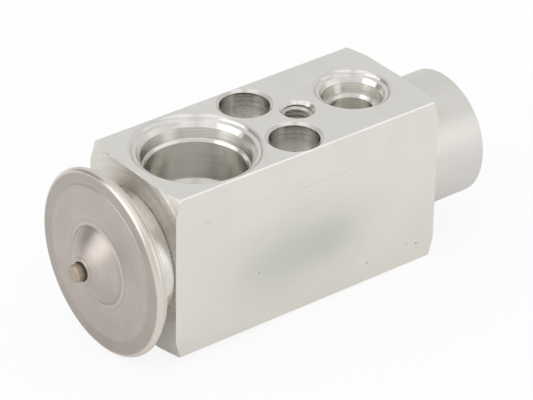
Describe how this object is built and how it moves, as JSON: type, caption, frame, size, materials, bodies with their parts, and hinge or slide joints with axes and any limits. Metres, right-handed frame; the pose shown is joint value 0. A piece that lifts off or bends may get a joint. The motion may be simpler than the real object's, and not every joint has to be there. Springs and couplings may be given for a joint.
{
  "type": "thermostatic expansion valve",
  "caption": "Block expansion valve: ported aluminium body, round diaphragm head on one end, and a boss with the spring's adjusting screw on the other.",
  "frame": {"origin": "where the stem's axis crosses the plane of the two mounting bolts, at the middle of the block's height", "axes": "+X along the stem from the power head to the adjusting screw, +Z out of the pipe-port face, +Y across the block"},
  "size_m": [0.093, 0.0388, 0.0388],
  "materials": {
    "block_aluminium": "machined aluminium, satin",
    "head_steel": "pressed stainless steel, faint turning marks",
    "housing_steel": "turned stainless steel, bright",
    "plug_steel": "steel, heat-tinted by welding",
    "spring_sheet": "thin bright spring sheet",
    "plate_brass": "turned brass",
    "rod_steel": "ground stainless steel",
    "ball_steel": "polished steel ball",
    "spring_wire": "drawn spring wire",
    "seal_rubber": "moulded black rubber",
    "backing_plastic": "white plastic",
    "screw_brass": "turned brass"
  },
  "bodies": {
    "block": {"valve_body": "block_aluminium", "head_cap": "head_steel", "charge_plug": "plug_steel", "diaphragm": "spring_sheet", "head_housing": "housing_steel", "head_seal_ring": "seal_rubber", "rod_seal_ring": "seal_rubber", "rod_seal_washer": "backing_plastic", "rod_seal_retainer": "spring_sheet", "seat_insert": "rod_steel", "superheat_spring": "spring_wire"},
    "stem": {"pressure_plate": "plate_brass", "sensing_rod": "rod_steel", "push_pin": "rod_steel", "valve_ball": "ball_steel", "ball_carrier": "plate_brass", "carrier_damper": "spring_sheet"},
    "spring_carrier": {"spring_seat": "screw_brass"},
    "adjuster": {"adjusting_screw": "screw_brass", "adjusting_screw_seal": "seal_rubber"}
  },
  "joints": [
    {"name": "valve_travel", "type": "slide", "parent": "block", "child": "stem", "axis": [1, 0, 0], "range_m": [0, 0.0008], "stiffness_N_per_m": 200, "springref_m": -0.002, "deforming": ["diaphragm", "superheat_spring"]},
    {"name": "adjuster_travel", "type": "slide", "parent": "block", "child": "spring_carrier", "axis": [1, 0, 0], "range_m": [-0.001, 0.001], "deforming": ["superheat_spring"]},
    {"name": "adjuster_turn", "type": "hinge", "parent": "spring_carrier", "child": "adjuster", "pos_m": [0.04406, 0, 0], "axis": [1, 0, 0], "range_deg": [-360, 360]}
  ],
  "couplings": [
    {"joint": "adjuster_turn", "follows": "adjuster_travel", "rad_per_m": 6283.2}
  ]
}
